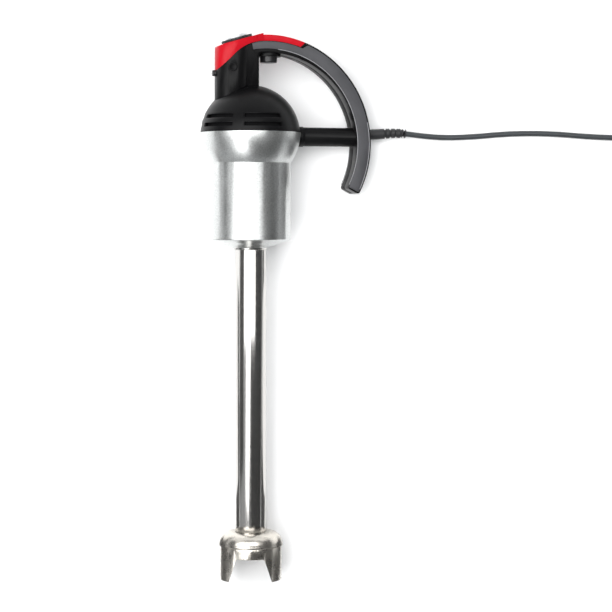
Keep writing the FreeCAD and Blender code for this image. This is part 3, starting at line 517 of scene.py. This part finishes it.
# %% Dress every CAD part
slot_of = {part["node"]: part["material_slot"] for part in frame["record"]["subparts"]}
for part_name, part in nodes.items():
    part.data.materials.clear()
    part.data.materials.append(finishes[slot_of[part_name]])
cord.data.materials.append(finishes["cord_sheath"])
# The beads take the pale grey of a painted highlight.
for piece in beads:
    piece.data.materials.append(finishes["pale_bead"])
# The ring behind the slots takes its painted-shade finish.
shade_ring.data.materials.append(finishes["painted_slot_shade"])
print("dressed", len(slot_of), "parts")

# %% [markdown]
# ## Floor
#
# The blender lies on white paper. A very large matt plane keeps the horizon pale in low views.

# %% Floor


def flat_sheet(name, corners):
    """One four-sided face."""
    mesh = bpy.data.meshes.new(name)
    mesh.from_pydata([tuple(corner) for corner in corners], [], [(0, 1, 2, 3)])
    sheet = bpy.data.objects.new(name, mesh)
    scene.collection.objects.link(sheet)
    return sheet


REACH = 9.0
floor = flat_sheet("floor", [(-REACH, -REACH, 0), (REACH, -REACH, 0), (REACH, REACH, 0), (-REACH, REACH, 0)])
material, shader = new_finish("white paper", (0.93, 0.93, 0.93), 0.9, specular=0.1)
paper = noise(material, own_space(material), 700.0, 3.0)
bump(material, shader, paper, 0.03, 0.2)
floor.data.materials.append(material)
print("floor is", 2 * REACH, "m wide")

# %% [markdown]
# ## Light
#
# Two softboxes hang above and to the left, one after the other along the blender. The one over the
# housing reaches further to the right, so the band on the barrel is wider than the band on the arm. A
# wide, high fill that metal doesn't mirror keeps the paper white and the shadows short. A low, wide light
# behind the handle end is what the bell's shoulder mirrors. Bright metal is only as good as what it
# mirrors, so dark cards stand beside the softboxes and lie beside the arm, seen by mirror-like rays
# only: they give the steel its dark bands. A pale surround fills the rest.

# %% Softboxes and fill
LIGHT_Z = 1.60
BETWEEN_BOXES = -0.02


def softbox(name, left, right, near, far, height, radiance, mirrored=True):
    """A flat rectangular light that faces down, given by its edges and by how bright it looks."""
    light = bpy.data.lights.new(name, "AREA")
    light.shape = "RECTANGLE"
    light.size, light.size_y = right - left, far - near
    light.energy = radiance * math.pi * light.size * light.size_y
    lamp = bpy.data.objects.new(name, light)
    lamp.location = ((left + right) / 2, (near + far) / 2, height)
    lamp.visible_glossy = mirrored
    lamp.visible_camera = False
    scene.collection.objects.link(lamp)
    return lamp


softbox("softbox_arm", -1.12, -0.24, -1.45, BETWEEN_BOXES, LIGHT_Z, 3.6)
softbox("softbox_housing", -2.00, 0.86, BETWEEN_BOXES, 1.00, LIGHT_Z, 3.4)
softbox("fill", -3.0, 1.0, -2.0, 2.0, 3.4, 1.15, mirrored=False)

back = softbox("back_light", -3.6, 3.6, -0.9, 0.9, 0.0, 0.80)
back.location = (0.0, 3.2, 1.0)
back.rotation_euler = (math.radians(90), 0.0, math.pi)

# %% Dark cards
card_finish, shader = new_finish("black card", (0.07, 0.07, 0.07), 0.9, specular=0.1)
bump(card_finish, shader, noise(card_finish, own_space(card_finish), 300.0), 0.05, 0.2)


def dark_card(name, corners):
    """A black card that only mirror-like rays can see."""
    card = flat_sheet(name, corners)
    card.data.materials.append(card_finish)
    card.visible_camera = False
    card.visible_diffuse = False
    card.visible_shadow = False
    return card


def slanted_card(name, left, high, near, far):
    """A card that slopes from beside a softbox down to the right."""
    return dark_card(name, [(left, near, high), (SLOPE_FOOT[0], near, SLOPE_FOOT[1]),
                            (SLOPE_FOOT[0], far, SLOPE_FOOT[1]), (left, far, high)])


def lying_card(name, left, right, near, far):
    """A card on the floor, beside the blender."""
    return dark_card(name, [(left, near, CARD_LIFT), (right, near, CARD_LIFT),
                            (right, far, CARD_LIFT), (left, far, CARD_LIFT)])


SLOPE_FOOT = (1.70, 0.20)
CARD_LIFT = 0.001
slanted_card("card_arm_right", -0.20, 1.62, -1.5, BETWEEN_BOXES)
slanted_card("card_housing_right", 0.90, 1.58, BETWEEN_BOXES, 1.3)
dark_card("card_left", [(-2.30, -1.3, 1.40), (-2.30, -1.3, 0.30), (-2.30, 1.3, 0.30), (-2.30, 1.3, 1.40)])
lying_card("card_bell_left", -2.30, -0.115, -0.56, -0.27)
lying_card("card_bell_right", 0.025, 1.70, -0.56, -0.27)
lying_card("card_arm_left", -0.70, -0.20, -0.27, 0.06)
lying_card("card_barrel_right", 0.13, 0.90, 0.06, 0.20)

# %% Surround
world = bpy.data.worlds.new("surround")
world.use_nodes = True
world.node_tree.nodes["Background"].inputs["Color"].default_value = (0.96, 0.98, 1.0, 1.0)
world.node_tree.nodes["Background"].inputs["Strength"].default_value = 0.45
scene.world = world
scene.view_settings.view_transform = "Standard"
